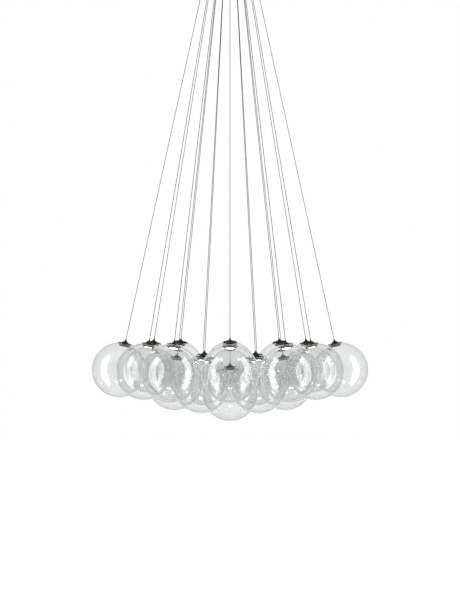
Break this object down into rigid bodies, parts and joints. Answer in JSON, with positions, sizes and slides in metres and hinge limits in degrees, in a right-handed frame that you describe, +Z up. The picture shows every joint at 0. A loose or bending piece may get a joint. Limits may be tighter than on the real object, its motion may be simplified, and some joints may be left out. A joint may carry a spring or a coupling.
{
  "type": "cluster pendant light",
  "caption": "Hexagonal cluster of clear glass globe pendants with small black lamp heads, hung on straight thin cables from one round ceiling canopy.",
  "frame": {"origin": "centre of the ceiling plate's upper face, which lies against the ceiling", "axes": "+Z up; the pendants hang towards -Z; +X runs through two opposite corners of the hexagonal cluster and -Y is the front"},
  "size_m": [1.002, 0.8946, 1.675],
  "materials": {
    "clear_glass": "clear, polished",
    "black_cap": "warm black, satin anodised",
    "black_fitting": "warm black, satin",
    "canopy_paint": "warm black powder coat, satin",
    "plate_steel": "zinc plated",
    "zinc_screw": "zinc plated",
    "black_screw": "blackened",
    "spring_steel": "bright spring steel",
    "opal_glow": "opal, lit warm white",
    "white_board": "white solder mask",
    "circuit_board": "green solder mask",
    "white_nylon": "moulded nylon",
    "white_case": "moulded case",
    "lead_jacket": "white sheath",
    "cable_jacket": "black sheath, matt",
    "silicone": "grey silicone",
    "black_rubber": "matt"
  },
  "bodies": {
    "canopy": {"ceiling_plate": "plate_steel", "mains_grommet": "black_rubber", "terminal_block": "white_nylon", "earth_screw": "zinc_screw", "led_driver": "white_case", "driver_screws": "zinc_screw", "driver_leads": "lead_jacket", "canopy_cover": "canopy_paint", "cover_screws": "black_screw", "wiring_board": "circuit_board", "board_spacers": "white_nylon", "wire_terminals": "white_nylon", "cable_grips": "black_fitting", "grip_nuts": "zinc_screw", "cable_tails": "cable_jacket", "inner_globes": "clear_glass", "inner_caps": "black_cap", "inner_glands": "black_fitting", "inner_gaskets": "silicone", "inner_led_boards": "white_board", "inner_diffusers": "opal_glow", "inner_clips": "spring_steel", "inner_cables": "cable_jacket"},
    "pendant_01": {"globe_01": "clear_glass", "lamp_head_01": "black_cap", "cable_01": "cable_jacket"},
    "pendant_02": {"globe_02": "clear_glass", "lamp_head_02": "black_cap", "cable_02": "cable_jacket"},
    "pendant_03": {"globe_03": "clear_glass", "lamp_head_03": "black_cap", "cable_03": "cable_jacket"},
    "pendant_04": {"globe_04": "clear_glass", "lamp_head_04": "black_cap", "cable_04": "cable_jacket"},
    "pendant_05": {"globe_05": "clear_glass", "lamp_head_05": "black_cap", "cable_05": "cable_jacket"},
    "pendant_06": {"globe_06": "clear_glass", "lamp_head_06": "black_cap", "cable_06": "cable_jacket"},
    "pendant_07": {"globe_07": "clear_glass", "lamp_head_07": "black_cap", "cable_07": "cable_jacket"},
    "pendant_08": {"globe_08": "clear_glass", "lamp_head_08": "black_cap", "cable_08": "cable_jacket"},
    "pendant_09": {"globe_09": "clear_glass", "lamp_head_09": "black_cap", "cable_09": "cable_jacket"},
    "pendant_10": {"globe_10": "clear_glass", "lamp_head_10": "black_cap", "cable_10": "cable_jacket"},
    "pendant_11": {"globe_11": "clear_glass", "lamp_head_11": "black_cap", "cable_11": "cable_jacket"},
    "pendant_12": {"globe_12": "clear_glass", "lamp_head_12": "black_cap", "cable_12": "cable_jacket"}
  },
  "joints": [
    {"name": "pendant_01_swing", "type": "hinge", "parent": "canopy", "child": "pendant_01", "pos_m": [0.088, 0, -0.055], "axis": [0, -1, 0], "range_deg": [0, 25]},
    {"name": "pendant_02_swing", "type": "hinge", "parent": "canopy", "child": "pendant_02", "pos_m": [0.066, 0.03811, -0.055], "axis": [0.5, -0.866, 0], "range_deg": [0, 25]},
    {"name": "pendant_03_swing", "type": "hinge", "parent": "canopy", "child": "pendant_03", "pos_m": [0.044, 0.07621, -0.055], "axis": [0.866, -0.5, 0], "range_deg": [0, 25]},
    {"name": "pendant_04_swing", "type": "hinge", "parent": "canopy", "child": "pendant_04", "pos_m": [0, 0.07621, -0.055], "axis": [1, 0, 0], "range_deg": [0, 25]},
    {"name": "pendant_05_swing", "type": "hinge", "parent": "canopy", "child": "pendant_05", "pos_m": [-0.044, 0.07621, -0.055], "axis": [0.866, 0.5, 0], "range_deg": [0, 25]},
    {"name": "pendant_06_swing", "type": "hinge", "parent": "canopy", "child": "pendant_06", "pos_m": [-0.066, 0.03811, -0.055], "axis": [0.5, 0.866, 0], "range_deg": [0, 25]},
    {"name": "pendant_07_swing", "type": "hinge", "parent": "canopy", "child": "pendant_07", "pos_m": [-0.088, 0, -0.055], "axis": [0, 1, 0], "range_deg": [0, 25]},
    {"name": "pendant_08_swing", "type": "hinge", "parent": "canopy", "child": "pendant_08", "pos_m": [-0.066, -0.03811, -0.055], "axis": [-0.5, 0.866, 0], "range_deg": [0, 25]},
    {"name": "pendant_09_swing", "type": "hinge", "parent": "canopy", "child": "pendant_09", "pos_m": [-0.044, -0.07621, -0.055], "axis": [-0.866, 0.5, 0], "range_deg": [0, 25]},
    {"name": "pendant_10_swing", "type": "hinge", "parent": "canopy", "child": "pendant_10", "pos_m": [0, -0.07621, -0.055], "axis": [-1, 0, 0], "range_deg": [0, 25]},
    {"name": "pendant_11_swing", "type": "hinge", "parent": "canopy", "child": "pendant_11", "pos_m": [0.044, -0.07621, -0.055], "axis": [-0.866, -0.5, 0], "range_deg": [0, 25]},
    {"name": "pendant_12_swing", "type": "hinge", "parent": "canopy", "child": "pendant_12", "pos_m": [0.066, -0.03811, -0.055], "axis": [-0.5, -0.866, 0], "range_deg": [0, 25]}
  ]
}
